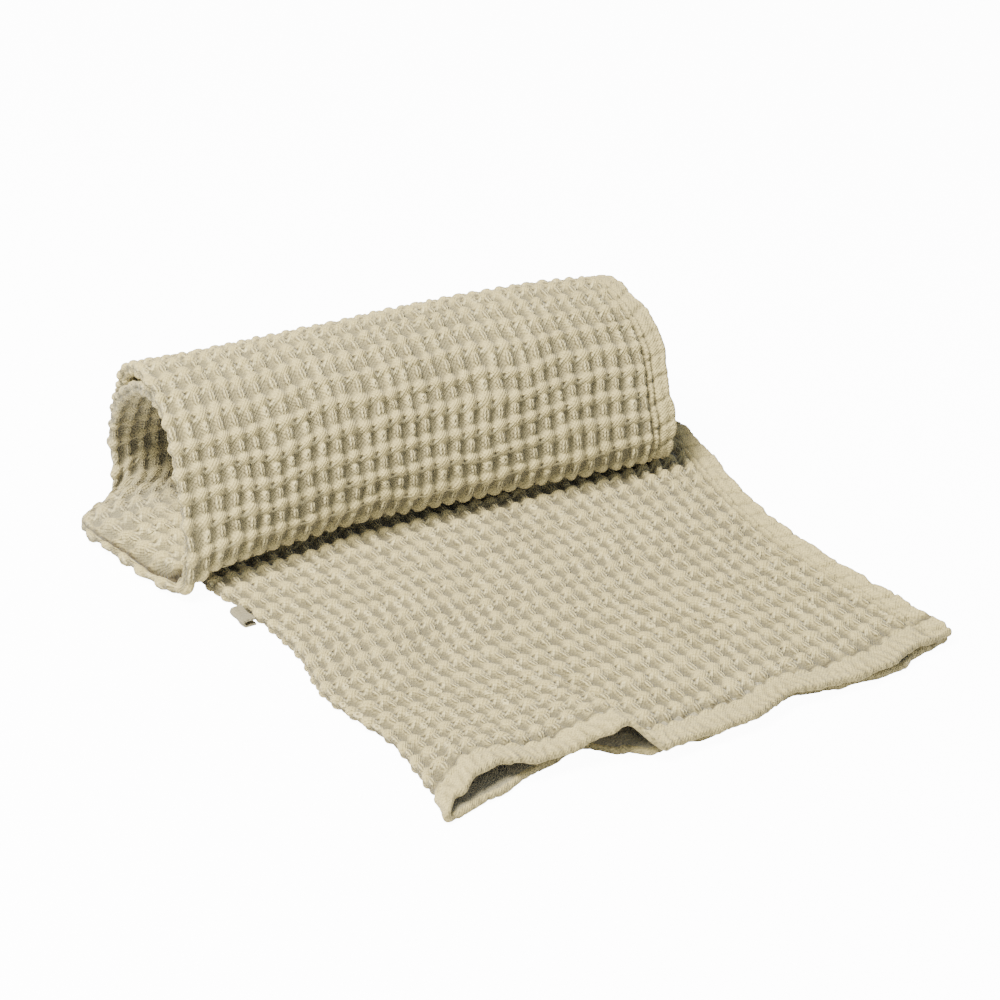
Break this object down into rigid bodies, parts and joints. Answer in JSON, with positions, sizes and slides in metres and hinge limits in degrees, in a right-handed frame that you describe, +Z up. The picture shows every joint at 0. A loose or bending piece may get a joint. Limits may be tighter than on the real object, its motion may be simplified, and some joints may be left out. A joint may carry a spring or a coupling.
{
  "type": "bath towel",
  "caption": "Honeycomb-weave bath towel folded in half along its length and loosely rolled, its free end lying flat in front of the roll.",
  "frame": {"origin": "middle of the towel's box, on the surface it lies on", "axes": "+X across the towel from its fold to its side hems, +Y from the front hem back to the roll, +Z up"},
  "size_m": [0.4015, 0.4589, 0.118],
  "materials": {
    "honeycomb_cotton": "matte",
    "cotton_tape": "matte"
  },
  "bodies": {
    "root": {"towel_cloth": "honeycomb_cotton", "hanging_loop": "cotton_tape"}
  },
  "joints": []
}
